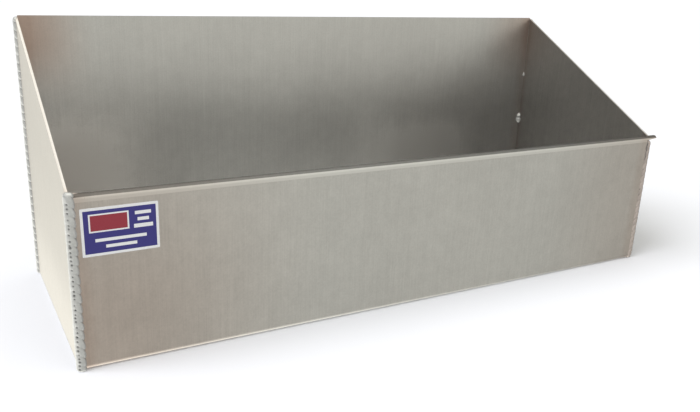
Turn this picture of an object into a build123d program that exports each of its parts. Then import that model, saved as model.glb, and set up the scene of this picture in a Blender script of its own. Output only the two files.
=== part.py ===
from build123d import *
import os

# Welded sheet-aluminium trough: tall back, low rolled front rim and sloping ends.
# x runs along the trough, -y is the front, +z is up. The origin is on the underside of the floor,
# midway between the ends and midway from front to back.

os.makedirs("parts", exist_ok=True)

# ---- driving dimensions (mm) ----
LENGTH = 431.8          # outside, end plate to end plate
DEPTH = 152.4           # outside, front wall to back wall
BACK_HEIGHT = 177.8
FRONT_HEIGHT = 101.6    # to the top of the rim
SHEET = 1.6             # one gauge throughout
BEND = 1.6              # inside radius of the two floor bends
RIM_THICKNESS = 5.6     # outside width of the rim, folded inwards and left open
RIM_LEG = 3.2           # straight tail of the rim below its roll
RIM_OVERRUN = 8.6       # how far the rim runs on past the right end plate
RIM_TIP = 1.7           # height of the overrun at its tip; it is half the rim's roll at its root
RIM_GAP = 0.4           # relief round the rim where it passes the right end plate
BEAD = 2.75             # radius of the corner weld beads
BEAD_INSET = 1.2        # how far the bead's centre lies inside both outer faces
RIGHT_BEAD_OUT = 0.6    # the front right bead's centre lies this far outside the end plate
RIGHT_BEAD_BACK = 1.9   # and this far behind the front face
SEAM_ROUND = 1.2        # outer corner of the floor welds
LEFT_PEAK = 1.4         # how far the front left bead stands above the rim
RIGHT_STOP = 3.4        # how far below the top of the rim the front right bead stops
LABEL_LENGTH, LABEL_HEIGHT, LABEL_THICKNESS = 41.0, 27.0, 0.3
LABEL_CORNER = 0.6      # corner radius
LABEL_TILT = 0.3        # degrees
LABEL_FROM_LEFT = 26.5  # label centre, from the left end's outer face
LABEL_FROM_TOP = 21.3   # label centre, below the top of the rim
# tacks in the inner rear corners: height above the floor's underside, reach and half height
TACKS = ((86.0, 3.0, 4.8), (127.0, 1.3, 1.8))

# ---- worked out from them ----
half_length = LENGTH / 2
half_depth = DEPTH / 2
inner_x = half_length - SHEET           # inner faces of the end plates
inner_y = half_depth - SHEET            # inner faces of the front and back walls
mid_sheet = SHEET / 2
bend_mid = BEND + mid_sheet             # bend radius at the middle of the sheet
rim_mid = (RIM_THICKNESS - SHEET) / 2   # roll radius at the middle of the sheet
rim_centre_y = -half_depth + RIM_THICKNESS / 2
rim_centre_z = FRONT_HEIGHT - RIM_THICKNESS / 2
rim_foot = rim_centre_z - RIM_LEG
slope = (BACK_HEIGHT - FRONT_HEIGHT) / DEPTH


def top_of_end(y):
    """Height of the end plates' sloping edge at a distance y from the middle."""
    return FRONT_HEIGHT + (y + half_depth) * slope


def roll_arc():
    """Middle line of the rim's roll, from its inner side over to its outer side."""
    inner = (rim_centre_y + rim_mid, rim_centre_z)
    outer = (rim_centre_y - rim_mid, rim_centre_z)
    ThreePointArc(inner, (rim_centre_y, rim_centre_z + rim_mid), outer)
    return inner, outer


# ---- body: front wall with its rim, floor and back wall, bent from one sheet ----
with BuildPart() as body_sheet:
    with BuildSketch(Plane.YZ.offset(-inner_x)):
        with BuildLine():
            inner, outer = roll_arc()
            Line((inner[0], rim_foot), inner)
            Line(outer, (outer[0], FRONT_HEIGHT / 2))
            FilletPolyline(
                (-half_depth + mid_sheet, FRONT_HEIGHT / 2),
                (-half_depth + mid_sheet, mid_sheet),
                (half_depth - mid_sheet, mid_sheet),
                (half_depth - mid_sheet, BACK_HEIGHT),
                radius=bend_mid,
            )
        trace(line_width=SHEET)
    extrude(amount=2 * inner_x)
    # the upper half of the roll runs on past the right end plate, tapering below
    with BuildSketch(Plane.YZ.offset(inner_x)):
        with BuildLine():
            roll_arc()
        trace(line_width=SHEET)
    extrude(amount=SHEET + RIM_OVERRUN)
    rim_end = half_length + RIM_OVERRUN
    with BuildSketch(Plane.XZ.offset(half_depth + 1)):
        with BuildLine():
            Polyline(
                (inner_x, rim_centre_z),
                (rim_end, FRONT_HEIGHT - RIM_TIP),
                (rim_end + 1, FRONT_HEIGHT - RIM_TIP),
                (rim_end + 1, rim_centre_z - 1),
                (inner_x, rim_centre_z - 1),
                close=True,
            )
        make_face()
    extrude(amount=-(RIM_THICKNESS + 2), mode=Mode.SUBTRACT)
body_sheet.part.label = "body_sheet"
export_step(body_sheet.part, "parts/body_sheet.step")


# ---- end plates: they meet the body sheet along its inner edges, leaving an open corner to weld ----
def end_plate_outline(mode=Mode.ADD):
    """Flat outline of an end plate: y to the right, z up."""
    front_top = (-inner_y, top_of_end(-inner_y))
    back_top = (inner_y, top_of_end(inner_y))
    with BuildLine() as border:
        FilletPolyline(front_top, (-inner_y, SHEET), (inner_y, SHEET), back_top, radius=BEND)
        Line(back_top, front_top)
    make_face(border.edges(), mode=mode)


with BuildPart() as left_end_plate:
    with BuildSketch(Plane.YZ.offset(-half_length)):
        end_plate_outline()
    extrude(amount=SHEET)
left_end_plate.part.label = "left_end_plate"
export_step(left_end_plate.part, "parts/left_end_plate.step")

with BuildPart() as right_end_plate:
    with BuildSketch(Plane.YZ.offset(inner_x)):
        end_plate_outline()
        # slotted for the rim, with the sloping edge carried on over it
        slot_bottom = rim_centre_z - RIM_GAP
        slot_height = FRONT_HEIGHT + RIM_GAP - slot_bottom
        with Locations((-half_depth, slot_bottom)):
            Rectangle(RIM_THICKNESS + RIM_GAP, slot_height, align=(Align.MIN, Align.MIN), mode=Mode.SUBTRACT)
    extrude(amount=SHEET)
right_end_plate.part.label = "right_end_plate"
export_step(right_end_plate.part, "parts/right_end_plate.step")


# ---- vertical corner welds: a round bead in each open corner ----
def bead_section(side, face, out, back):
    """Bead round one corner (side: -1 left, 1 right; face: -1 front, 1 back), clear of the sheets."""
    with Locations((side * (half_length + out), face * (half_depth - back))):
        Circle(BEAD)
    Rectangle(2 * inner_x, DEPTH, mode=Mode.SUBTRACT)
    Rectangle(LENGTH, 2 * inner_y, mode=Mode.SUBTRACT)
    if face > 0:
        # the rear beads are dressed flush with the back
        with Locations((0, half_depth)):
            Rectangle(LENGTH + 4 * BEAD, 2 * BEAD, align=(Align.CENTER, Align.MIN), mode=Mode.SUBTRACT)


rear_top = top_of_end(inner_y)
CORNER_WELDS = (
    ("front_left_weld", -1, -1, -BEAD_INSET, BEAD_INSET, FRONT_HEIGHT + LEFT_PEAK),
    ("front_right_weld", 1, -1, RIGHT_BEAD_OUT, RIGHT_BEAD_BACK, FRONT_HEIGHT - RIGHT_STOP),
    ("rear_left_weld", -1, 1, -BEAD_INSET, BEAD_INSET, rear_top),
    ("rear_right_weld", 1, 1, -BEAD_INSET, BEAD_INSET, rear_top),
)
for name, side, face, out, back, top in CORNER_WELDS:
    with BuildPart() as corner_weld:
        with BuildSketch():
            bead_section(side, face, out, back)
        extrude(amount=top)
    corner_weld.part.label = name
    export_step(corner_weld.part, f"parts/{name}.step")


# ---- floor welds: the seam under each end plate, dressed flush all round ----
for name, side in (("left_floor_weld", -1), ("right_floor_weld", 1)):
    start = -half_length if side < 0 else inner_x
    with BuildPart() as floor_weld:
        with BuildSketch(Plane.YZ.offset(start)):
            Rectangle(2 * inner_y, SHEET + BEND, align=(Align.CENTER, Align.MIN))
            end_plate_outline(mode=Mode.SUBTRACT)
        extrude(amount=SHEET)
        outer_edge = floor_weld.edges().filter_by(Axis.Y).group_by(Axis.Z)[0].sort_by(Axis.X)
        fillet(outer_edge[0 if side < 0 else -1], radius=SEAM_ROUND)
    floor_weld.part.label = name
    export_step(floor_weld.part, f"parts/{name}.step")


# ---- tacks: small blobs of weld inside the rear corners ----
for name, side in (("rear_left_tacks", -1), ("rear_right_tacks", 1)):
    with BuildPart() as corner_tacks:
        for height, reach, half_tall in TACKS:
            corner = Vector(side * inner_x, inner_y, height)
            with BuildSketch(Plane(corner, x_dir=(1, 0, 0), z_dir=(0, -1, 0))):
                Ellipse(reach, half_tall)
                Rectangle(2 * reach, 2 * half_tall, align=(Align.MAX, Align.CENTER), mode=Mode.SUBTRACT)
            revolve(axis=Axis(corner, (0, 0, 1)))
        # only the quarter that stands inside the corner
        Box(2 * inner_x, 2 * inner_y, BACK_HEIGHT, align=(Align.CENTER, Align.CENTER, Align.MIN),
            mode=Mode.INTERSECT)
    corner_tacks.part.label = name
    export_step(corner_tacks.part, f"parts/{name}.step")


# ---- label: a thin sticker on the front face ----
with BuildPart() as label:
    with BuildSketch(Plane.XZ.offset(half_depth)):
        with Locations(Location((-half_length + LABEL_FROM_LEFT, FRONT_HEIGHT - LABEL_FROM_TOP), LABEL_TILT)):
            RectangleRounded(LABEL_LENGTH, LABEL_HEIGHT, LABEL_CORNER)
    extrude(amount=LABEL_THICKNESS)
label.part.label = "label"
export_step(label.part, "parts/label.step")
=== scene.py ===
import math

import bpy
from mathutils import Matrix, Vector, noise


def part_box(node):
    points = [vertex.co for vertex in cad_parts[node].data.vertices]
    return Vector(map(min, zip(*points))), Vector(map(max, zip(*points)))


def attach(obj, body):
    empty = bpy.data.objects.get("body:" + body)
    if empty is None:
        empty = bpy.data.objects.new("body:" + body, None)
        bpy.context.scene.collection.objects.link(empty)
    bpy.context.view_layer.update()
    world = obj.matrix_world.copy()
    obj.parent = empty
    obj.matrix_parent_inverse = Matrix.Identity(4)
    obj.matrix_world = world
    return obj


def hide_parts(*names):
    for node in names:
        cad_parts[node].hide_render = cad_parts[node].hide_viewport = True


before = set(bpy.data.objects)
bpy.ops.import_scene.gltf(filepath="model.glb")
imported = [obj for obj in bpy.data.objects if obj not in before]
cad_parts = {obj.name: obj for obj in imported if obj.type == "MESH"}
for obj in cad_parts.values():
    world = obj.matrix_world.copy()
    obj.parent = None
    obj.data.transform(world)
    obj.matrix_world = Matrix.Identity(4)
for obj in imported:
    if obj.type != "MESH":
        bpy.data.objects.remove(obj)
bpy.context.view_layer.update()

bl_info = {
    "name": "Sheet aluminium trough",
    "version": (1, 0, 0),
    "blender": (4, 5, 0),
    "location": "View3D > Sidebar > Trough",
    "description": "Builds a welded sheet aluminium trough, its welds, its sticker and a stage",
    "category": "Object",
}

MM = 0.001
TOUCH = 0.02 * MM       # places closer than this are the same

# The corners of the CAD pieces that the new pieces are set out from.
left_low, left_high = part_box("left_end_plate")
right_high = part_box("right_end_plate")[1]
body_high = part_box("body_sheet")[1]
SHEET = left_high.x - left_low.x
HALF_LENGTH = right_high.x
HALF_DEPTH = body_high.y
INNER_X = HALF_LENGTH - SHEET
INNER_Y = HALF_DEPTH - SHEET
# the front of the body sheet ends in its rim, so the top of its front half is the rim's
body_points = [vertex.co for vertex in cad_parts["body_sheet"].data.vertices]
RIM_TOP = max(point.z for point in body_points if point.y < 0)
TOP_SLOPE = (body_high.z - RIM_TOP) / (2 * HALF_DEPTH)      # of the end plates' top edges

# Bearings of the brighter parts of the room, and where the key light stands.
FRONT_LOW = (0.47, -0.82, -0.31)
FRONT_HIGH = (0.27, -0.80, 0.53)
OVERHEAD = (0.0, 0.0, 1.0)
LEFT_LOW = (-0.33, 0.57, -0.75)
CORNER_LOW = (-0.80, -0.50, -0.33)
UNDERNEATH = (0.0, 0.0, -1.0)
KEY_FROM = (-0.72, 0.0, 0.69)
FLOOR_SIZE = 30.0       # metres
FLOOR_DROP = 0.2 * MM   # how far the floor lies below the trough


# ---------------------------------------------------------------- settings

class TroughSizes(bpy.types.PropertyGroup):
    """Sizes of the pieces that are modelled here."""

    bead_radius: bpy.props.FloatProperty(
        name="Bead radius", description="Radius of a corner weld's ripples at their fullest",
        default=2.75 * MM, unit="LENGTH")
    bead_inset: bpy.props.FloatProperty(
        name="Bead inset", description="How far a bead's centre lies inside both outer faces",
        default=1.2 * MM, unit="LENGTH")
    ripple_pitch: bpy.props.FloatProperty(
        name="Ripple pitch", description="Distance from one ripple of weld to the next",
        default=5.3 * MM, unit="LENGTH")
    pit_pitch: bpy.props.FloatProperty(
        name="Pit pitch", description="Usual distance between the pits up a corner weld",
        default=2.7 * MM, unit="LENGTH")
    ripple_slant: bpy.props.FloatProperty(
        name="Ripple slant", description="How far a ripple falls from the corner line to its edges",
        default=3.0 * MM, unit="LENGTH")
    scallop: bpy.props.FloatProperty(
        name="Scallop",
        description="How far the ripples spread on the sheets, as a part of the bead's radius",
        default=0.24, subtype="FACTOR")
    bend: bpy.props.FloatProperty(
        name="Bend", description="Inside radius of the floor bends", default=1.6 * MM, unit="LENGTH")
    rim_thickness: bpy.props.FloatProperty(
        name="Rim thickness", description="Outside width of the rolled rim", default=5.6 * MM, unit="LENGTH")
    rim_leg: bpy.props.FloatProperty(
        name="Rim leg", description="Straight tail of the rim below its roll",
        default=3.2 * MM, unit="LENGTH")
    rim_tip: bpy.props.FloatProperty(
        name="Rim tip", description="Height of the rim's overrun at its tip", default=1.7 * MM, unit="LENGTH")
    rim_fit: bpy.props.FloatProperty(
        name="Rim fit", description="How far the right end's slot closes in on the rim's roll",
        default=0.85 * MM, unit="LENGTH")
    rim_lift: bpy.props.FloatProperty(
        name="Rim lift", description="How far the rim is drawn up into the left corner weld",
        default=0.9 * MM, unit="LENGTH")
    edge_round: bpy.props.FloatProperty(
        name="Edge round", description="Rounding of the sheared edges", default=0.3 * MM, unit="LENGTH")
    unevenness: bpy.props.FloatProperty(
        name="Unevenness", description="How far the long walls wander from flat",
        default=0.45 * MM, unit="LENGTH")
    divisions: bpy.props.IntProperty(
        name="Divisions", description="Cuts along the body sheet", default=71, subtype="UNSIGNED")
    tack_height: bpy.props.FloatProperty(
        name="Tack height", description="Height of the larger drop of weld", default=9.6 * MM, unit="LENGTH")
    speck_height: bpy.props.FloatProperty(
        name="Speck height", description="Height of the smaller drop of weld",
        default=3.6 * MM, unit="LENGTH")
    label_length: bpy.props.FloatProperty(
        name="Label length", description="Length of the sticker", default=41.0 * MM, unit="LENGTH")
    label_height: bpy.props.FloatProperty(
        name="Label height", description="Height of the sticker", default=27.0 * MM, unit="LENGTH")
    label_corner: bpy.props.FloatProperty(
        name="Label corner", description="Corner radius of the sticker", default=0.6 * MM, unit="LENGTH")
    label_tilt: bpy.props.FloatProperty(
        name="Label tilt", description="How far the sticker is turned from level", subtype="ANGLE",
        default=math.radians(0.3))


class TroughColours(bpy.types.PropertyGroup):
    """Colours of the finishes."""

    sheet: bpy.props.FloatVectorProperty(
        name="Sheet", description="Satin sheet aluminium", subtype="COLOR", size=3,
        min=0.0, max=1.0, default=(0.70, 0.70, 0.70))
    weld: bpy.props.FloatVectorProperty(
        name="Weld", description="Bright weld metal", subtype="COLOR", size=3,
        min=0.0, max=1.0, default=(0.64, 0.65, 0.66))
    heat_tint: bpy.props.FloatVectorProperty(
        name="Heat tint", description="Browned sheet beside a weld", subtype="COLOR", size=3,
        min=0.0, max=1.0, default=(0.54, 0.42, 0.37))
    soot: bpy.props.FloatVectorProperty(
        name="Soot", description="Dark pits between the ripples", subtype="COLOR", size=3,
        min=0.0, max=1.0, default=(0.10, 0.10, 0.105))
    label_paper: bpy.props.FloatVectorProperty(
        name="Label border", description="White of the sticker", subtype="COLOR", size=3,
        min=0.0, max=1.0, default=(0.71, 0.72, 0.74))
    label_field: bpy.props.FloatVectorProperty(
        name="Label field", description="Blue of the sticker", subtype="COLOR", size=3,
        min=0.0, max=1.0, default=(0.030, 0.026, 0.19))
    label_band: bpy.props.FloatVectorProperty(
        name="Label band", description="Red of the sticker", subtype="COLOR", size=3,
        min=0.0, max=1.0, default=(0.27, 0.022, 0.040))
    floor: bpy.props.FloatVectorProperty(
        name="Floor", description="Plain pale floor", subtype="COLOR", size=3,
        min=0.0, max=1.0, default=(0.72, 0.735, 0.80))


class TroughStage(bpy.types.PropertyGroup):
    """Camera and lights."""

    azimuth: bpy.props.FloatProperty(
        name="Azimuth", description="Camera's bearing; 0 looks along +Y", subtype="ANGLE",
        default=math.radians(-30.48))
    elevation: bpy.props.FloatProperty(
        name="Elevation", description="Camera's height above the horizon", subtype="ANGLE",
        default=math.radians(18.93))
    roll: bpy.props.FloatProperty(
        name="Roll", description="Camera's tilt about its own line of sight", subtype="ANGLE",
        default=math.radians(2.91))
    distance: bpy.props.FloatProperty(
        name="Distance", description="From the camera to the point it looks at", unit="LENGTH",
        default=580.0 * MM)
    look_at: bpy.props.FloatVectorProperty(
        name="Look at", description="Point at the middle of the view", subtype="XYZ", size=3,
        unit="LENGTH", default=(5.2 * MM, 0.0, 37.6 * MM))
    lens: bpy.props.FloatProperty(
        name="Lens", description="Focal length in millimetres on a 36 mm frame", default=39.45,
        unit="CAMERA")
    shift: bpy.props.FloatVectorProperty(
        name="Shift", description="Camera shift across and up, as parts of the picture's width",
        size=2, default=(-0.0183, 0.0156), unit="NONE")
    room: bpy.props.FloatVectorProperty(
        name="Room", description="Warm white of the room", subtype="COLOR", size=3,
        min=0.0, max=1.0, default=(1.0, 0.98, 0.88))
    surround: bpy.props.FloatProperty(
        name="Surround", description="Brightness of the room everywhere", default=0.13,
        subtype="FACTOR")
    front_low: bpy.props.FloatProperty(
        name="Front low", description="Extra brightness low in front, on the right", default=0.30,
        subtype="FACTOR")
    front_high: bpy.props.FloatProperty(
        name="Front high", description="Extra brightness high in front", default=0.31,
        subtype="FACTOR")
    overhead: bpy.props.FloatProperty(
        name="Overhead", description="Extra brightness overhead", default=1.12,
        subtype="FACTOR")
    left_low: bpy.props.FloatProperty(
        name="Left low", description="Extra brightness low behind, on the left", default=1.34,
        subtype="FACTOR")
    corner_low: bpy.props.FloatProperty(
        name="Corner low", description="Extra brightness low in front, on the left", default=0.38,
        subtype="FACTOR")
    underneath: bpy.props.FloatProperty(
        name="Underneath", description="Glow of the pale floor from straight below", default=0.55,
        subtype="FACTOR")
    key_light: bpy.props.FloatProperty(
        name="Key light", description="Soft light from the upper left, in watts per square metre",
        default=2.9, subtype="UNSIGNED")
    key_softness: bpy.props.FloatProperty(
        name="Key softness", description="Width of the soft light, seen from the trough",
        subtype="ANGLE", default=math.radians(46.0))


# ---------------------------------------------------------------- shader graphs

class Wire:
    """One output of a shader node, with Python's arithmetic on it."""

    def __init__(self, graph, socket):
        self.graph = graph
        self.socket = socket

    def maths(self, operation, *values):
        inputs = dict(enumerate(values))
        return self.graph.node("ShaderNodeMath", {"operation": operation}, inputs)

    def __add__(self, other):
        return self.maths("ADD", self, other)

    def __radd__(self, other):
        return self.maths("ADD", other, self)

    def __sub__(self, other):
        return self.maths("SUBTRACT", self, other)

    def __rsub__(self, other):
        return self.maths("SUBTRACT", other, self)

    def __mul__(self, other):
        return self.maths("MULTIPLY", self, other)

    def __rmul__(self, other):
        return self.maths("MULTIPLY", other, self)

    def __truediv__(self, other):
        return self.maths("DIVIDE", self, other)

    def __abs__(self):
        return self.maths("ABSOLUTE", self)

    def smaller(self, other):
        return self.maths("MINIMUM", self, other)

    def larger(self, other):
        return self.maths("MAXIMUM", self, other)

    def step(self, start, end):
        """0 at start, 1 at end, smoothly in between, and held beyond both."""
        inputs = {"Value": self, "From Min": start, "From Max": end}
        settings = {"interpolation_type": "SMOOTHSTEP"}
        return self.graph.node("ShaderNodeMapRange", settings, inputs)

    def fall(self, start, end):
        """1 at start, 0 at end: a step turned over."""
        return 1.0 - self.step(start, end)


class Graph:
    """A node tree and the nodes added to it."""

    def __init__(self, tree):
        self.tree = tree

    def node(self, kind, settings=None, inputs=None, output=0):
        """Add a node: its settings first, then values or wires for its sockets."""
        made = self.tree.nodes.new(kind)
        for key, value in (settings or {}).items():
            setattr(made, key, value)
        for key, value in (inputs or {}).items():
            if isinstance(value, Wire):
                self.tree.links.new(value.socket, made.inputs[key])
            else:
                made.inputs[key].default_value = value
        return Wire(self, made.outputs[output])

    def place(self):
        """Object coordinates."""
        return self.node("ShaderNodeTexCoord", output="Object")

    def axes(self, vector):
        """The three parts of a vector."""
        split = self.node("ShaderNodeSeparateXYZ", None, {0: vector}).socket.node
        return [Wire(self, socket) for socket in split.outputs]

    def mix(self, amount, first, second):
        """Blend two colours; a colour is a wire or three numbers."""
        settings = {"data_type": "RGBA"}
        inputs = {0: amount, 6: colour(first), 7: colour(second)}
        return self.node("ShaderNodeMix", settings, inputs, output=2)

    def brighten(self, base, amount):
        """Multiply a colour by a number."""
        inputs = {0: base, "Scale": amount}
        return self.node("ShaderNodeVectorMath", {"operation": "SCALE"}, inputs)

    def stretched(self, vector, scale):
        """Coordinates scaled by a different amount along each axis."""
        return self.node("ShaderNodeMapping", None, {"Vector": vector, "Scale": scale})

    def grain(self, vector, scale=1.0, detail=2.0, roughness=0.5):
        """Noise from 0 to 1."""
        inputs = {"Vector": vector, "Scale": scale, "Detail": detail, "Roughness": roughness}
        return self.node("ShaderNodeTexNoise", None, inputs)


class Finish(Graph):
    """A material and the nodes that make it."""

    def __init__(self, name):
        self.material = bpy.data.materials.new(name)
        self.material.use_nodes = True
        super().__init__(self.material.node_tree)
        self.tree.nodes.clear()

    def surface(self, constants, wires, height=None, bump_distance=0.0, bump_strength=1.0):
        """Finish with a Principled shader, its constants, and what varies over the surface."""
        inputs = dict(constants)
        inputs.update(wires)
        if height is not None:
            bump = {"Height": height, "Distance": bump_distance, "Strength": bump_strength}
            inputs["Normal"] = self.node("ShaderNodeBump", None, bump)
        shader = self.node("ShaderNodeBsdfPrincipled", None, inputs)
        out = self.tree.nodes.new("ShaderNodeOutputMaterial")
        self.tree.links.new(shader.socket, out.inputs["Surface"])
        return self.material


def colour(value):
    """Three numbers as an opaque colour; a wire is left as it is."""
    return value if isinstance(value, Wire) else (*value, 1.0)


# ---------------------------------------------------------------- finishes

BRIGHTEST = 1.4     # a higher tone would take the sheet's colour past white


def rim_painted_light(y, z, sizes):
    """Painted light on the rim: a painted highlight along its front edge and painted shade on the top of its
    roll, as a factor on the colour.
    """
    roll = sizes.rim_thickness / 2
    rise = (z - (RIM_TOP - roll)) / roll
    on_rim = y.fall(-HALF_DEPTH + sizes.rim_thickness, -HALF_DEPTH + 1.2 * sizes.rim_thickness)
    # painted highlight: a bright band along the front of the roll
    painted_rim_highlight = rise.step(-0.60, -0.40) * rise.fall(0.36, 0.54) * on_rim
    # painted shade: the top of the roll is darkened
    dull = rise.step(0.42, 0.60) * on_rim * z.fall(RIM_TOP + 0.1 * MM, RIM_TOP + 0.4 * MM)
    return 1.0 + painted_rim_highlight * 0.22 - dull * 0.72, painted_rim_highlight


def beside_welds(x, y, mottle):
    """Uneven browned bands beside the corner welds."""
    from_end = HALF_LENGTH - abs(x)
    wander = (mottle - 0.5) * (6.0 * MM)
    at_wall = abs(y).step(HALF_DEPTH - 8.0 * MM, HALF_DEPTH - 2.0 * MM)
    return (from_end + wander).fall(3.0 * MM, 13.0 * MM) * at_wall


def browner_towards_ends(x, y, z):
    """Brown high on the back at both ends, and towards both ends of the front."""
    far_left = x.fall(-INNER_X, -INNER_X + 50.0 * MM)
    far_right = x.step(INNER_X - 60.0 * MM, INNER_X)
    high_up = z.step(115.0 * MM, 165.0 * MM)
    on_back = (far_left * 0.95 + far_right * 0.62) * high_up * y.step(0.0, INNER_Y)
    left_part = x.fall(-INNER_X, -INNER_X + 160.0 * MM) * (1.0 - z.step(30.0 * MM, 110.0 * MM) * 0.40)
    right_part = x.step(INNER_X - 110.0 * MM, INNER_X)
    on_front = (left_part * 0.58 + right_part * 0.26) * y.fall(-HALF_DEPTH, 0.0)
    return on_back + on_front


def painted_light_on_back(x, y, z):
    """Painted light: the back is lighter low down, most of all in two places, standing in for light reflected
    there.
    """
    low_down = z.fall(20.0 * MM, 100.0 * MM) * 0.26
    left_place = x.fall(-190.0 * MM, -110.0 * MM) * z.fall(90.0 * MM, 125.0 * MM)
    right_place = x.step(10.0 * MM, 95.0 * MM) * x.fall(125.0 * MM, 175.0 * MM)
    right_place = right_place * z.fall(70.0 * MM, 110.0 * MM)
    return y.step(0.0, INNER_Y) * (low_down + left_place * 0.46 + right_place * 0.46)


def end_plate_tone(x, y, z, grain, plate_painted_shade):
    """A painted highlight along the cut edge at the top; painted shade halfway up the outside of the left
    end, and over the whole of a plate given painted shade, more so lower down.
    """
    outside = x.fall(-HALF_LENGTH, -INNER_X)
    # painted highlight along the cut top edge
    top_edge_painted_highlight = (z - (y + HALF_DEPTH) * TOP_SLOPE).step(RIM_TOP - 0.45 * MM, RIM_TOP - 0.15 * MM)
    # painted shade halfway up on the outside of the left end
    halfway = z.step(15.0 * MM, 60.0 * MM) * z.fall(100.0 * MM, 170.0 * MM)
    # painted shade over a darkened plate, more lower down
    lower = z.fall(30.0 * MM, 140.0 * MM) * plate_painted_shade * 0.30
    return (1.0 - plate_painted_shade - lower + grain) * (1.0 - halfway * outside * 0.16) * (1.0 + top_edge_painted_highlight * 0.38)


def line_scale(across, narrow, long):
    """Scales that draw noise out into lines square to the axis called across."""
    return (narrow, long, long) if across == "X" else (long, narrow, long)


def sheet_aluminium(name, across, sizes, colours, plate_painted_shade=0.0):
    """Satin mill-finish sheet with fine grain lines, which lie square to the axis called across."""
    f = Finish(name)
    where = f.place()
    x, y, z = f.axes(where)
    fine_lines = f.grain(f.stretched(where, line_scale(across, 2600.0, 30.0)), detail=2.0, roughness=0.6)
    broad_lines = f.grain(f.stretched(where, line_scale(across, 420.0, 9.0)), detail=3.0, roughness=0.55)
    cloud = f.grain(where, scale=16.0, detail=3.0, roughness=0.55)
    mottle = f.grain(where, scale=140.0, detail=3.0, roughness=0.6)
    speck = f.grain(where, scale=900.0, detail=1.0)
    grain = ((fine_lines - 0.5) * 0.20 + (broad_lines - 0.5) * 0.09
             + (cloud - 0.5) * 0.18 + (mottle - 0.5) * 0.16 + (speck - 0.5) * 0.14)
    rough = 0.40 + (fine_lines - 0.5) * 0.16 + (cloud - 0.5) * 0.10 + (mottle - 0.5) * 0.08
    height = fine_lines * 0.7 + broad_lines * 0.3
    brown_amount = beside_welds(x, y, mottle)
    if across == "X":
        brown_amount = (brown_amount * 0.20 + browner_towards_ends(x, y, z)).smaller(1.0)
        # the rim's painted highlight and painted shade go into the tone
        wear_and_painted_rim_light, painted_rim_highlight = rim_painted_light(y, z, sizes)
        # painted light low on the back is added to the tone
        tone = (1.0 + grain * (1.0 - painted_rim_highlight * 0.8)) * wear_and_painted_rim_light * (1.0 + painted_light_on_back(x, y, z))
        tone = tone.smaller(BRIGHTEST)
        rough = rough - painted_rim_highlight * 0.06
        height = (height - 0.5) * (1.0 - painted_rim_highlight * 0.9)
    else:
        brown_amount = brown_amount * 0.25 + 0.17
        # the end plates' tone holds a painted highlight and painted shade
        tone = end_plate_tone(x, y, z, grain, plate_painted_shade)
    base = f.brighten(f.mix(brown_amount, colours.sheet, colours.heat_tint), tone)
    return f.surface({"Metallic": 1.0}, {"Base Color": base, "Roughness": rough},
                     height, bump_distance=0.05 * MM, bump_strength=0.5)


def label_print(middle, sizes, colours):
    """Printed vinyl: a white border, a blue field, a red block and blank white bars."""
    f = Finish("label_vinyl")
    where = f.place()
    x, _, z = f.axes(where)
    c, s = math.cos(sizes.label_tilt), math.sin(sizes.label_tilt)
    across = x * c + z * s - (middle.x * c + middle.z * s)
    upwards = z * c - x * s - (middle.z * c - middle.x * s)
    half_x, half_z = sizes.label_length / 2, sizes.label_height / 2

    def block(left, right, bottom, top):
        """1 inside a rectangle given as parts of the label's half length and half height."""
        middle_x, middle_z = (left + right) / 2 * half_x, (bottom + top) / 2 * half_z
        beyond_x = abs(across - middle_x) - (right - left) / 2 * half_x
        beyond_z = abs(upwards - middle_z) - (top - bottom) / 2 * half_z
        return beyond_x.larger(beyond_z).fall(-0.06 * MM, 0.06 * MM)

    base = f.mix(block(-0.93, 0.93, -0.89, 0.89), colours.label_paper, colours.label_field)
    base = f.mix(block(-0.80, 0.22, -0.02, 0.74), base, colours.label_paper)
    base = f.mix(block(-0.76, 0.18, 0.04, 0.68), base, colours.label_band)
    for bar in ((0.38, 0.80, 0.54, 0.68), (0.44, 0.74, 0.27, 0.41), (0.34, 0.84, -0.02, 0.14),
                (-0.66, 0.66, -0.42, -0.29), (-0.40, 0.40, -0.70, -0.57)):
        base = f.mix(block(*bar), base, colours.label_paper)
    ink = f.grain(where, scale=1800.0, detail=2.0)
    wear_and_painted_rim_light = f.grain(where, scale=220.0, detail=3.0)
    base = f.brighten(base, 0.94 + ink * 0.12)
    rough = 0.34 + (wear_and_painted_rim_light - 0.5) * 0.22
    return f.surface({"Coat Roughness": 0.25}, {"Base Color": base, "Roughness": rough},
                     wear_and_painted_rim_light, bump_distance=0.03 * MM, bump_strength=0.4)


def weld_metal(name, colours):
    """Bright weld metal with dull, sooty grooves; the groove attribute says where they are."""
    f = Finish(name)
    where = f.place()
    groove = f.node("ShaderNodeAttribute", {"attribute_name": "groove"}, output="Fac")
    mottle = f.grain(where, scale=700.0, detail=3.0, roughness=0.65)
    cloud = f.grain(where, scale=180.0, detail=2.0)
    dirt = (groove * (0.55 + mottle * 0.9)).smaller(1.0)
    tone = 1.0 + (mottle - 0.5) * 0.30 + (cloud - 0.5) * 0.22
    # the front right corner is browned
    x, y, _ = f.axes(where)
    browned = x.step(0.0, HALF_LENGTH) * y.fall(-HALF_DEPTH, 0.0) * 0.60
    metal = f.mix(browned, colours.weld, colours.heat_tint)
    base = f.brighten(f.mix(dirt, metal, colours.soot), tone)
    rough = 0.36 + dirt * 0.30 + (mottle - 0.5) * 0.20
    return f.surface({"Metallic": 0.70}, {"Base Color": base, "Roughness": rough},
                     mottle, bump_distance=0.08 * MM, bump_strength=0.5)


# ---------------------------------------------------------------- modelling helpers

def select_none():
    """Leave edit mode and clear the selection."""
    if bpy.context.object and bpy.context.object.mode != "OBJECT":
        bpy.ops.object.mode_set(mode="OBJECT")
    bpy.ops.object.select_all(action="DESELECT")


def make_active(piece):
    select_none()
    piece.select_set(True)
    bpy.context.view_layer.objects.active = piece


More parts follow.
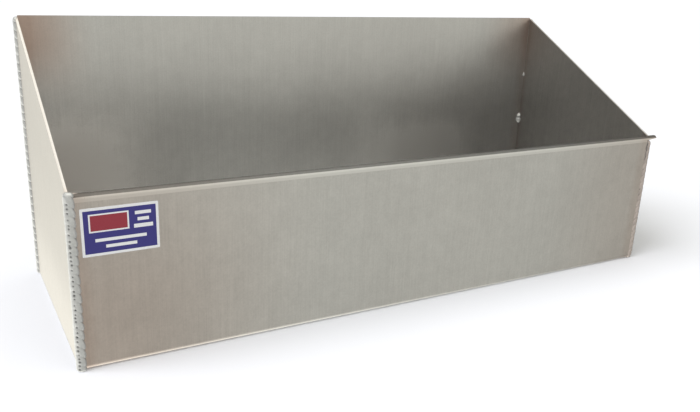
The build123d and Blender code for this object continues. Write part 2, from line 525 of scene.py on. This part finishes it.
def edit(piece, kind="VERT"):
    """Open a piece in edit mode with nothing selected."""
    make_active(piece)
    bpy.ops.object.mode_set(mode="EDIT")
    bpy.ops.mesh.select_mode(type=kind)
    bpy.ops.mesh.select_all(action="DESELECT")


def pick(piece, wanted, kind="VERT"):
    """In edit mode, select the vertices that pass a test, with the edges and faces between them."""
    edit(piece, kind)
    bpy.ops.object.mode_set(mode="OBJECT")
    mesh = piece.data
    for vertex in mesh.vertices:
        vertex.select = wanted(vertex.co)
    for part in (*mesh.edges, *mesh.polygons):
        part.select = all(mesh.vertices[i].select for i in part.vertices)
    bpy.ops.object.mode_set(mode="EDIT")


def near(value, target):
    return abs(value - target) < TOUCH


def settle(piece):
    """Put a piece's place, turn and size into its mesh."""
    make_active(piece)
    bpy.ops.object.transform_apply(location=True, rotation=True, scale=True)


def apply_modifier(piece, kind, **settings):
    make_active(piece)
    modifier = piece.modifiers.new(kind.lower(), kind)
    for key, value in settings.items():
        setattr(modifier, key, value)
    bpy.ops.object.modifier_apply(modifier=modifier.name)


def thicken(piece, thickness, edge_round):
    """Give a sheet its thickness, inwards from its outer face, and break its sheared edges."""
    apply_modifier(piece, "SOLIDIFY", thickness=thickness, offset=-1.0, use_even_offset=True)
    apply_modifier(piece, "BEVEL", width=edge_round, segments=2, limit_method="ANGLE",
                   angle_limit=math.radians(50.0))
    make_active(piece)
    bpy.ops.object.shade_smooth_by_angle(angle=math.radians(35.0))
    # the flat faces keep flat shading beside their rounded edges
    apply_modifier(piece, "WEIGHTED_NORMAL", mode="FACE_AREA", weight=100, keep_sharp=True)


def dress(piece, name, material, slot, *nodes):
    """Name a finished piece; give it its material and body, and hide the CAD nodes it stands for. The slot
    argument is not used.
    """
    piece.name = piece.data.name = name
    piece.data.materials.clear()
    piece.data.materials.append(material)
    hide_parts(*nodes)
    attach(piece, "root")


def dress_node(name, material):
    """Give a CAD piece that stays its material."""
    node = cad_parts[name]
    node.data.materials.clear()
    node.data.materials.append(material)


def add_upright(x, low_y, high_y, low_z, high_z):
    """A plane facing along x, from corner to corner."""
    select_none()
    middle = (x, (low_y + high_y) / 2, (low_z + high_z) / 2)
    turn = (0, math.radians(90.0), 0)
    bpy.ops.mesh.primitive_plane_add(size=1.0, location=middle, rotation=turn)
    plane = bpy.context.object
    plane.scale = (high_z - low_z, high_y - low_y, 1)
    settle(plane)
    return plane


# ---------------------------------------------------------------- body sheet

STUB_GAP = 0.1 * MM     # the rim's overrun stops this far short of the CAD rim's tip
TRUE_AT_ENDS = 40 * MM  # over this length at each end the walls come true
TRUE_AT_FLOOR = 30 * MM     # and over this height above the floor
LIFT_RUN = 9 * MM       # length of rim that is drawn up at the left


def model_body(sizes):
    """One bent sheet: back wall, floor, front wall and the rim rolled inwards."""
    outer_bend = sizes.bend + SHEET
    roll = sizes.rim_thickness / 2
    roll_y, roll_z = -HALF_DEPTH + roll, RIM_TOP - roll
    select_none()
    middle = (0, HALF_DEPTH, (outer_bend + body_high.z) / 2)
    bpy.ops.mesh.primitive_plane_add(size=1.0, location=middle, rotation=(math.radians(-90.0), 0, 0))
    body = bpy.context.object
    body.scale = (2 * INNER_X, body_high.z - outer_bend, 1)
    settle(body)
    # each bend is spun from the free edge, each flat is drawn out from the bend
    pick(body, lambda co: near(co.z, outer_bend), "EDGE")
    quarter = math.radians(90.0)
    bpy.ops.mesh.spin(steps=6, angle=quarter, center=(0, HALF_DEPTH - outer_bend, outer_bend), axis=(1, 0, 0))
    pick(body, lambda co: near(co.z, 0.0), "EDGE")
    draw_out(0, -2 * (HALF_DEPTH - outer_bend), 0)
    pick(body, lambda co: co.y < 0, "EDGE")
    bpy.ops.mesh.spin(steps=6, angle=quarter, center=(0, outer_bend - HALF_DEPTH, outer_bend), axis=(1, 0, 0))
    pick(body, lambda co: near(co.y, -HALF_DEPTH), "EDGE")
    draw_out(0, 0, roll_z - outer_bend)
    pick(body, lambda co: near(co.y, -HALF_DEPTH) and near(co.z, roll_z), "EDGE")
    bpy.ops.mesh.spin(steps=14, angle=2 * quarter, center=(0, roll_y, roll_z), axis=(1, 0, 0))
    pick(body, lambda co: near(co.y, roll_y + roll) and near(co.z, roll_z), "EDGE")
    draw_out(0, 0, -sizes.rim_leg)
    merge_doubles(body)
    divide_along(body, sizes.divisions)
    # the upper half of the roll runs on past the right end plate, tapering below
    pick(body, lambda co: near(co.x, INNER_X) and co.z > roll_z - TOUCH and co.y < 0, "EDGE")
    for step in (SHEET, body_high.x - HALF_LENGTH - STUB_GAP):
        draw_out(step, 0, 0)
    bpy.ops.object.mode_set(mode="OBJECT")
    drop = RIM_TOP - sizes.rim_tip - roll_z
    for vertex in body.data.vertices:
        along = max(0.0, (vertex.co.x - INNER_X) / (body_high.x - INNER_X))
        if along > 0.0:
            vertex.co.z = max(vertex.co.z, roll_z + drop * along)
    return body


def draw_out(x, y, z):
    bpy.ops.mesh.extrude_region_move(TRANSFORM_OT_translate={"value": (x, y, z)})


def merge_doubles(piece):
    edit(piece)
    bpy.ops.mesh.select_all(action="SELECT")
    bpy.ops.mesh.remove_doubles(threshold=0.005 * MM)
    bpy.ops.mesh.normals_make_consistent(inside=False)
    bpy.ops.object.mode_set(mode="OBJECT")


def divide_along(piece, cuts):
    """Cut every face that runs the trough's length into short ones."""
    edit(piece, "EDGE")
    bpy.ops.object.mode_set(mode="OBJECT")
    points = piece.data.vertices
    for edge in piece.data.edges:
        first, second = (points[i].co for i in edge.vertices)
        edge.select = abs(first.x - second.x) > INNER_X
    bpy.ops.object.mode_set(mode="EDIT")
    bpy.ops.mesh.subdivide(number_cuts=cuts)
    bpy.ops.object.mode_set(mode="OBJECT")


def unsettle_body(body, sizes):
    """The small unevenness of hand-bent sheet, and the rim drawn up into the left corner weld."""
    roll_y = -HALF_DEPTH + sizes.rim_thickness / 2
    for vertex in body.data.vertices:
        co = vertex.co
        held = min(1.0, (INNER_X - abs(co.x)) / TRUE_AT_ENDS) if abs(co.x) < INNER_X else 0.0
        wave = noise.noise(Vector((co.x * 9.0, co.y * 5.0, co.z * 9.0))) * sizes.unevenness * held
        shelter = min(1.0, co.z / TRUE_AT_FLOOR)
        if near(co.y, HALF_DEPTH):
            co.y -= 0.5 * abs(wave) * shelter
        elif co.y < roll_y:
            co.y += wave * shelter
        if co.z > RIM_TOP - sizes.rim_thickness and co.y < 0:
            from_corner = (co.x + INNER_X) / LIFT_RUN
            co.z += sizes.rim_lift * max(0.0, 1.0 - from_corner) ** 2


# ---------------------------------------------------------------- end plates

# painted shade: the right end plate's colour is darkened
RIGHT_PLATE_PAINTED_SHADE = 0.38   # the right end plate is this much darker than the rest


def model_end_plate(node, side, sizes):
    """A plate with a sloping top edge and rounded lower corners; the right one is slotted for the rim."""
    low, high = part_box(node)
    outer_x = side * HALF_LENGTH
    plate = add_upright(outer_x, low.y, high.y, low.z, high.z)
    for vertex in plate.data.vertices:
        if vertex.co.y < 0 and vertex.co.z > RIM_TOP:
            vertex.co.z = high.z - TOP_SLOPE * (high.y - low.y)
    if side > 0:
        slot_y = -HALF_DEPTH + sizes.rim_thickness - sizes.rim_fit
        slot_low = RIM_TOP - sizes.rim_thickness / 2
        slot_high = RIM_TOP - sizes.rim_fit
        for point, normal in (((0, slot_y, 0), (0, 1, 0)), ((0, 0, slot_low), (0, 0, 1)),
                              ((0, 0, slot_high), (0, 0, 1))):
            edit(plate, "FACE")
            bpy.ops.mesh.select_all(action="SELECT")
            bpy.ops.mesh.bisect(plane_co=point, plane_no=normal)
        pick(plate, lambda co: co.y < slot_y + TOUCH and slot_low - TOUCH < co.z < slot_high + TOUCH, "FACE")
        bpy.ops.mesh.delete(type="FACE")
    pick(plate, lambda co: near(co.z, low.z) and (near(co.y, low.y) or near(co.y, high.y)))
    bpy.ops.mesh.bevel(offset=sizes.bend, segments=4, affect="VERTICES")
    bpy.ops.object.mode_set(mode="OBJECT")
    if (plate.data.polygons[0].normal.x > 0) != (side > 0):
        edit(plate, "FACE")
        bpy.ops.mesh.select_all(action="SELECT")
        bpy.ops.mesh.flip_normals()
        bpy.ops.object.mode_set(mode="OBJECT")
    return plate


# ---------------------------------------------------------------- corner welds

BEAD_SIDES = 36
RINGS_PER_RIPPLE = 12
HEAD_ROUND = 2.2 * MM       # length over which a bead's head is rounded
FOOT_ROUND = 1.4 * MM       # and its foot
RIGHT_FOOT_ROUND = 4.5 * MM     # the front right bead's foot tapers over more


def bead_centre(node, side, face, sizes):
    """Middle of a bead's foot, from its outermost faces; the rear beads are ground off behind."""
    low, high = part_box(node)
    x = side * (max(abs(low.x), abs(high.x)) - sizes.bead_radius)
    y = low.y + sizes.bead_radius if face < 0 else HALF_DEPTH - sizes.bead_inset
    return Vector((x, y, low.z))


def start_ring(centre, side, face, sizes):
    """A ring round the corner; the part inside the trough is drawn in to the notch's inner corner."""
    select_none()
    bpy.ops.mesh.primitive_circle_add(
        vertices=BEAD_SIDES, radius=sizes.bead_radius, fill_type="NOTHING", location=centre)
    ring = bpy.context.object
    settle(ring)
    buried = 0.6 * SHEET

    def hidden(co):
        return HALF_LENGTH - side * co.x > buried and HALF_DEPTH - face * co.y > buried

    pick(ring, hidden)
    bpy.ops.mesh.merge(type="CENTER")
    bpy.ops.object.mode_set(mode="OBJECT")
    for vertex in ring.data.vertices:
        if hidden(vertex.co):
            vertex.co = (side * (INNER_X + 0.1 * SHEET), face * (INNER_Y + 0.1 * SHEET), centre.z)
    return ring


def corner_bead(centre, side, face, top, sizes):
    """A plain bead up one corner, drawn out ring by ring for one ripple and then repeated."""
    run = top - centre.z
    ripples = max(1, round(run / sizes.ripple_pitch))
    pitch = run / ripples
    bead = start_ring(centre, side, face, sizes)
    edit(bead)
    bpy.ops.mesh.select_all(action="SELECT")
    for _ in range(RINGS_PER_RIPPLE):
        draw_out(0, 0, pitch / RINGS_PER_RIPPLE)
    bpy.ops.object.mode_set(mode="OBJECT")
    apply_modifier(bead, "ARRAY", count=ripples, use_relative_offset=False, use_constant_offset=True,
                   constant_offset_displace=(0, 0, pitch), use_merge_vertices=True, merge_threshold=0.01 * MM)
    return bead, pitch


def bump_at(distance, width):
    """A round bump: 1 in the middle, 0 from width on."""
    return max(0.0, 1.0 - (distance / width) ** 2) ** 2


def blend(value, start, end):
    """0 at start, 1 at end, smoothly in between, and held beyond both."""
    t = min(1.0, max(0.0, (value - start) / (end - start)))
    return t * t * (3.0 - 2.0 * t)


def weather_bead(bead, centre, side, face, top, pitch, sizes):
    """Raise the slanting ripples, pit the line along the corner, and note where dirt lies."""
    outwards = Vector((side, face, 0)).normalized()
    along = Vector((-face, side, 0)).normalized()
    span = top - centre.z
    front_right = side > 0 > face
    pits = pit_heights(side, face, span, sizes)
    groove = bead.data.attributes.new("groove", "FLOAT", "POINT")
    for index, vertex in enumerate(bead.data.vertices):
        arm = Vector((vertex.co.x - centre.x, vertex.co.y - centre.y, 0))
        angle = math.atan2(arm.dot(along), arm.dot(outwards))
        height = vertex.co.z - centre.z
        edge = min(1.0, abs(angle) / math.radians(105.0))
        on_sheet = blend(abs(angle), math.radians(55.0), math.radians(95.0))
        wander = 0.20 * noise.noise(Vector((angle * 0.7, height * 90.0, side * 3.7 + face)))
        turn = (height + sizes.ripple_slant * edge) / pitch + wander
        count = math.floor(turn)
        # full in the middle of a ripple and pinched between two
        lobe = math.sin(math.pi * (turn - count) ** 0.8) ** 0.55
        luck = noise.noise(Vector((count * 7.31, side * 3.7, face * 5.1)))
        swell = 0.905 + 0.085 * lobe - 0.05 * bump_at(angle, 0.25)
        swell += on_sheet * (sizes.scallop * lobe * (0.85 + 0.5 * luck) - 0.02)
        swell += 0.022 * noise.noise(vertex.co * 420.0)
        pit = 0.0
        for pit_height, pit_angle, pit_size in pits:
            away = Vector((height - pit_height, (angle - pit_angle) * sizes.bead_radius)).length
            pit = max(pit, bump_at(away, pit_size))
        swell = min(swell, 1.0 + (sizes.scallop + 0.02) * on_sheet) - 0.16 * pit
        # rounded head and foot
        head = max(0.0, 1.0 - (span - height) / HEAD_ROUND)
        foot = max(0.0, 1.0 - height / FOOT_ROUND)
        swell *= 1.0 - 0.50 * head ** 2.5 - 0.22 * foot ** 2.5
        if front_right:
            swell *= 1.0 - 0.45 * max(0.0, 1.0 - height / RIGHT_FOOT_ROUND) ** 2
        if arm.length > 0.6 * sizes.bead_radius:
            vertex.co.x = centre.x + arm.x * swell
            vertex.co.y = centre.y + arm.y * swell
        between = bump_at(lobe, 0.75)
        dirt = 1.25 * pit + between * (0.10 + 0.55 * on_sheet * (0.6 + luck))
        if front_right and angle < 0:
            # undercut near the top, and in spots further down
            undercut = 0.6 * blend(height, span - 20 * MM, span - 12 * MM)
            dirt += on_sheet * (undercut + max(0.0, luck - 0.1))
        groove.data[index].value = min(1.0, max(0.0, dirt))


def pit_heights(side, face, span, sizes):
    """Small pits scattered up the corner line."""
    pits = []
    height = 1.5 * MM
    while height < span - 3 * MM:
        luck = Vector((len(pits) * 3.17, side * 9.1, face * 4.3))
        size = (0.85 + 0.55 * noise.noise(luck * 1.9)) * MM
        pits.append((height, side * face * 0.30 + 0.20 * noise.noise(luck), max(0.4 * MM, size)))
        height += sizes.pit_pitch * (1.0 + 0.7 * noise.noise(luck * 2.7))
    return pits


def close_holes(piece):
    """Fill every open border and turn the faces outwards."""
    edit(piece, "EDGE")
    bpy.ops.mesh.select_all(action="SELECT")
    bpy.ops.mesh.fill_holes(sides=0)
    bpy.ops.mesh.select_all(action="SELECT")
    bpy.ops.mesh.normals_make_consistent(inside=False)
    bpy.ops.object.mode_set(mode="OBJECT")


# ---------------------------------------------------------------- tacks

SPECK_REACH = 0.43      # reach of the smaller drop, as a part of the larger one's


def model_tack(side, height, reach, half_tall):
    """One frozen drop of weld in an inner rear corner, cut to the two walls that it lies on."""
    select_none()
    corner = Vector((side * INNER_X, INNER_Y, height))
    bpy.ops.mesh.primitive_uv_sphere_add(segments=32, ring_count=20, radius=1.0, location=corner)
    drop = bpy.context.object
    drop.scale = (reach, reach, half_tall)
    settle(drop)
    for vertex in drop.data.vertices:
        offset = vertex.co - corner
        waist = bump_at(offset.z / half_tall - 0.22, 0.30)
        top_heavy = 1.0 - 0.20 * max(0.0, offset.z / half_tall)
        shape = top_heavy * (1.0 - 0.30 * waist) * (1.0 + 0.10 * noise.noise(vertex.co * 500.0))
        vertex.co.x = corner.x + offset.x * min(1.0, shape)
        vertex.co.y = corner.y + offset.y * min(1.0, shape)
    buried = 0.3 * SHEET
    end_cut = ((corner.x + side * buried, 0, 0), (side, 0, 0))
    back_cut = ((0, corner.y + buried, 0), (0, 1, 0))
    for point, normal in (end_cut, back_cut):
        edit(drop, "FACE")
        bpy.ops.mesh.select_all(action="SELECT")
        bpy.ops.mesh.bisect(plane_co=point, plane_no=normal, use_fill=False, clear_outer=True)
    merge_doubles(drop)
    edit(drop)
    bpy.ops.mesh.select_all(action="SELECT")
    bpy.ops.mesh.dissolve_degenerate(threshold=0.01 * MM)
    bpy.ops.mesh.delete_loose()
    bpy.ops.object.mode_set(mode="OBJECT")
    close_holes(drop)
    groove = drop.data.attributes.new("groove", "FLOAT", "POINT")
    for index, vertex in enumerate(drop.data.vertices):
        groove.data[index].value = 0.8 * bump_at((vertex.co.z - height) / half_tall - 0.22, 0.16)
    return drop


# ---------------------------------------------------------------- label

def model_label(sizes):
    """A thin sticker with rounded corners, laid on the front face."""
    low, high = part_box("label")
    middle = (low + high) / 2
    tilt = sizes.label_tilt
    select_none()
    bpy.ops.mesh.primitive_plane_add(size=1.0)
    sticker = bpy.context.object
    sticker.scale = (sizes.label_length, sizes.label_height, 1)
    settle(sticker)
    edit(sticker)
    bpy.ops.mesh.select_all(action="SELECT")
    bpy.ops.mesh.bevel(offset=sizes.label_corner, segments=4, affect="VERTICES")
    bpy.ops.object.mode_set(mode="OBJECT")
    sticker.rotation_euler = (math.radians(90.0), -tilt, 0)
    sticker.location = (middle.x, low.y, middle.z)
    settle(sticker)
    thicken(sticker, high.y - low.y - 0.02 * MM, 0.06 * MM)
    return sticker, middle


# ---------------------------------------------------------------- operators

class TROUGH_OT_body(bpy.types.Operator):
    """Model the bent body sheet with its rolled rim"""

    bl_idname = "trough.body"
    bl_label = "Body sheet"

    def execute(self, context):
        sizes = context.scene.trough_sizes
        body = model_body(sizes)
        unsettle_body(body, sizes)
        thicken(body, SHEET, sizes.edge_round)
        metal = sheet_aluminium("body_sheet_metal", "X", sizes, context.scene.trough_colours)
        dress(body, "bent_body_sheet", metal, "sheet", "body_sheet")
        return {"FINISHED"}


class TROUGH_OT_end_plates(bpy.types.Operator):
    """Model the two end plates with their sloping top edges"""

    bl_idname = "trough.end_plates"
    bl_label = "End plates"

    def execute(self, context):
        sizes = context.scene.trough_sizes
        # the right plate's sheet is a darker copy of the sheet: painted shade
        plates = (("left_end_plate", -1, 0.0), ("right_end_plate", 1, RIGHT_PLATE_PAINTED_SHADE))
        for node, side, plate_painted_shade in plates:
            metal = sheet_aluminium(f"{node}_metal", "Y", sizes, context.scene.trough_colours, plate_painted_shade)
            plate = model_end_plate(node, side, sizes)
            thicken(plate, SHEET, sizes.edge_round)
            dress(plate, f"sheared_{node}", metal, "sheet", node)
        return {"FINISHED"}


class TROUGH_OT_corner_welds(bpy.types.Operator):
    """Model the four rippled corner welds"""

    bl_idname = "trough.corner_welds"
    bl_label = "Corner welds"

    def execute(self, context):
        sizes = context.scene.trough_sizes
        metal = weld_metal("corner_weld_metal", context.scene.trough_colours)
        for node, side, face in (("front_left_weld", -1, -1), ("front_right_weld", 1, -1),
                                 ("rear_left_weld", -1, 1), ("rear_right_weld", 1, 1)):
            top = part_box(node)[1].z
            centre = bead_centre(node, side, face, sizes)
            bead, pitch = corner_bead(centre, side, face, top, sizes)
            weather_bead(bead, centre, side, face, top, pitch, sizes)
            if face > 0:
                self.dress_flush(bead)
            close_holes(bead)
            bpy.ops.object.shade_smooth()
            dress(bead, f"{node}_bead", metal, "weld", node)
        return {"FINISHED"}

    @staticmethod
    def dress_flush(bead):
        """The rear beads are ground level with the back."""
        for vertex in bead.data.vertices:
            vertex.co.y = min(vertex.co.y, HALF_DEPTH)


class TROUGH_OT_floor_welds(bpy.types.Operator):
    """Finish the ground seams under the end plates"""

    bl_idname = "trough.floor_welds"
    bl_label = "Floor welds"

    def execute(self, context):
        metal = weld_metal("floor_weld_metal", context.scene.trough_colours)
        for node in ("left_floor_weld", "right_floor_weld"):
            dress_node(node, metal)
        return {"FINISHED"}


class TROUGH_OT_tacks(bpy.types.Operator):
    """Model the drops of weld in the inner rear corners"""

    bl_idname = "trough.tacks"
    bl_label = "Tacks"

    def execute(self, context):
        sizes = context.scene.trough_sizes
        metal = weld_metal("tack_metal", context.scene.trough_colours)
        for node, side in (("rear_left_tacks", -1), ("rear_right_tacks", 1)):
            low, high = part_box(node)
            reach = INNER_Y - low.y
            half_big, half_small = sizes.tack_height / 2, sizes.speck_height / 2
            big = model_tack(side, low.z + half_big, reach, half_big)
            small = model_tack(side, high.z - half_small, SPECK_REACH * reach, half_small)
            make_active(big)
            small.select_set(True)
            bpy.ops.object.join()
            bpy.ops.object.shade_smooth_by_angle(angle=math.radians(60.0))
            dress(big, f"{node}_drops", metal, "weld", node)
        return {"FINISHED"}


class TROUGH_OT_label(bpy.types.Operator):
    """Model the sticker on the front face"""

    bl_idname = "trough.label"
    bl_label = "Sticker"

    def execute(self, context):
        sizes = context.scene.trough_sizes
        sticker, middle = model_label(sizes)
        print_on = label_print(middle, sizes, context.scene.trough_colours)
        dress(sticker, "front_sticker", print_on, "label", "label")
        return {"FINISHED"}


class TROUGH_OT_stage(bpy.types.Operator):
    """Lay the floor, and set the camera, the lights and the room"""

    bl_idname = "trough.stage"
    bl_label = "Stage"

    def execute(self, context):
        stage = context.scene.trough_stage
        self.lay_floor(context.scene.trough_colours)
        self.set_camera(context.scene, stage)
        self.set_room(context.scene, stage)
        self.add_key(stage)
        return {"FINISHED"}

    @staticmethod
    def lay_floor(colours):
        select_none()
        bpy.ops.mesh.primitive_plane_add(size=FLOOR_SIZE, location=(0, 0, -FLOOR_DROP))
        floor = bpy.context.object
        floor.name = "floor"
        settle(floor)
        f = Finish("floor_paint")
        cloud = f.grain(f.place(), scale=3.0, detail=2.0)
        base = f.brighten(colours.floor, 0.99 + cloud * 0.02)
        floor.data.materials.append(f.surface({"Roughness": 0.9}, {"Base Color": base}))
        # the metal mirrors the room below the horizon, not this floor
        floor.visible_glossy = False

    @staticmethod
    def set_camera(scene, stage):
        select_none()
        bpy.ops.object.camera_add()
        camera = bpy.context.object
        a, e, roll = stage.azimuth, stage.elevation, stage.roll
        back = Vector((math.sin(a) * math.cos(e), -math.cos(a) * math.cos(e), math.sin(e)))
        level = Vector((math.cos(a), math.sin(a), 0))
        rise = back.cross(level)
        right = math.cos(roll) * level + math.sin(roll) * rise
        up = math.cos(roll) * rise - math.sin(roll) * level
        turn = Matrix((right, up, back)).transposed().to_4x4()
        camera.matrix_world = Matrix.Translation(Vector(stage.look_at) + back * stage.distance) @ turn
        camera.data.lens = stage.lens
        camera.data.shift_x, camera.data.shift_y = stage.shift
        camera.data.clip_start = 0.01
        scene.camera = camera

    @staticmethod
    def set_room(scene, stage):
        """A plain room that is a little brighter in some directions, without edges."""
        scene.world = bpy.data.worlds.new("room")
        scene.world.use_nodes = True
        tree = scene.world.node_tree
        f = Graph(tree)
        background = tree.nodes["Background"]
        x, y, z = f.axes(f.node("ShaderNodeTexCoord", output="Generated"))
        level = stage.surround
        # how bright, which way, and the cosine at which it starts
        glows = ((stage.front_low, FRONT_LOW, 0.30), (stage.front_high, FRONT_HIGH, 0.30),
                 (stage.overhead, OVERHEAD, 0.30), (stage.left_low, LEFT_LOW, 0.30),
                 (stage.corner_low, CORNER_LOW, 0.45), (stage.underneath, UNDERNEATH, 0.50))
        for amount, middle, start in glows:
            toward = x * middle[0] + y * middle[1] + z * middle[2]
            level = toward.step(start, 1.0) * amount + level
        tree.links.new(level.socket, background.inputs["Strength"])
        background.inputs["Color"].default_value = (*stage.room, 1.0)
        scene.world.cycles.sampling_method = "NONE"
        scene.view_settings.view_transform = "Standard"

    @staticmethod
    def add_key(stage):
        """A broad soft light from the upper left; the metal doesn't mirror it."""
        select_none()
        bpy.ops.object.light_add(type="SUN")
        light = bpy.context.object
        light.name = "key_light"
        light.data.energy = stage.key_light
        light.data.angle = stage.key_softness
        light.rotation_euler = Vector(KEY_FROM).to_track_quat("Z", "Y").to_euler()
        light.visible_glossy = False


class TROUGH_PT_panel(bpy.types.Panel):
    """The trough's pieces and settings"""

    bl_label = "Trough"
    bl_idname = "TROUGH_PT_panel"
    bl_space_type = "VIEW_3D"
    bl_region_type = "UI"
    bl_category = "Trough"

    def draw(self, context):
        for settings in (context.scene.trough_sizes, context.scene.trough_colours,
                         context.scene.trough_stage):
            box = self.layout.box()
            for key in settings.__annotations__:
                box.prop(settings, key)
        for operator in OPERATORS:
            self.layout.operator(operator.bl_idname)


OPERATORS = (TROUGH_OT_body, TROUGH_OT_end_plates, TROUGH_OT_corner_welds, TROUGH_OT_floor_welds,
             TROUGH_OT_tacks, TROUGH_OT_label, TROUGH_OT_stage)
GROUPS = (("trough_sizes", TroughSizes), ("trough_colours", TroughColours), ("trough_stage", TroughStage))


def register():
    for name, group in GROUPS:
        bpy.utils.register_class(group)
        setattr(bpy.types.Scene, name, bpy.props.PointerProperty(type=group))
    for operator in OPERATORS:
        bpy.utils.register_class(operator)
    bpy.utils.register_class(TROUGH_PT_panel)


def unregister():
    bpy.utils.unregister_class(TROUGH_PT_panel)
    for operator in reversed(OPERATORS):
        bpy.utils.unregister_class(operator)
    for name, group in reversed(GROUPS):
        delattr(bpy.types.Scene, name)
        bpy.utils.unregister_class(group)


def main():
    register()
    bpy.ops.trough.body()
    bpy.ops.trough.end_plates()
    bpy.ops.trough.corner_welds()
    bpy.ops.trough.floor_welds()
    bpy.ops.trough.tacks()
    bpy.ops.trough.label()
    bpy.ops.trough.stage()


if __name__ == "__main__":
    main()
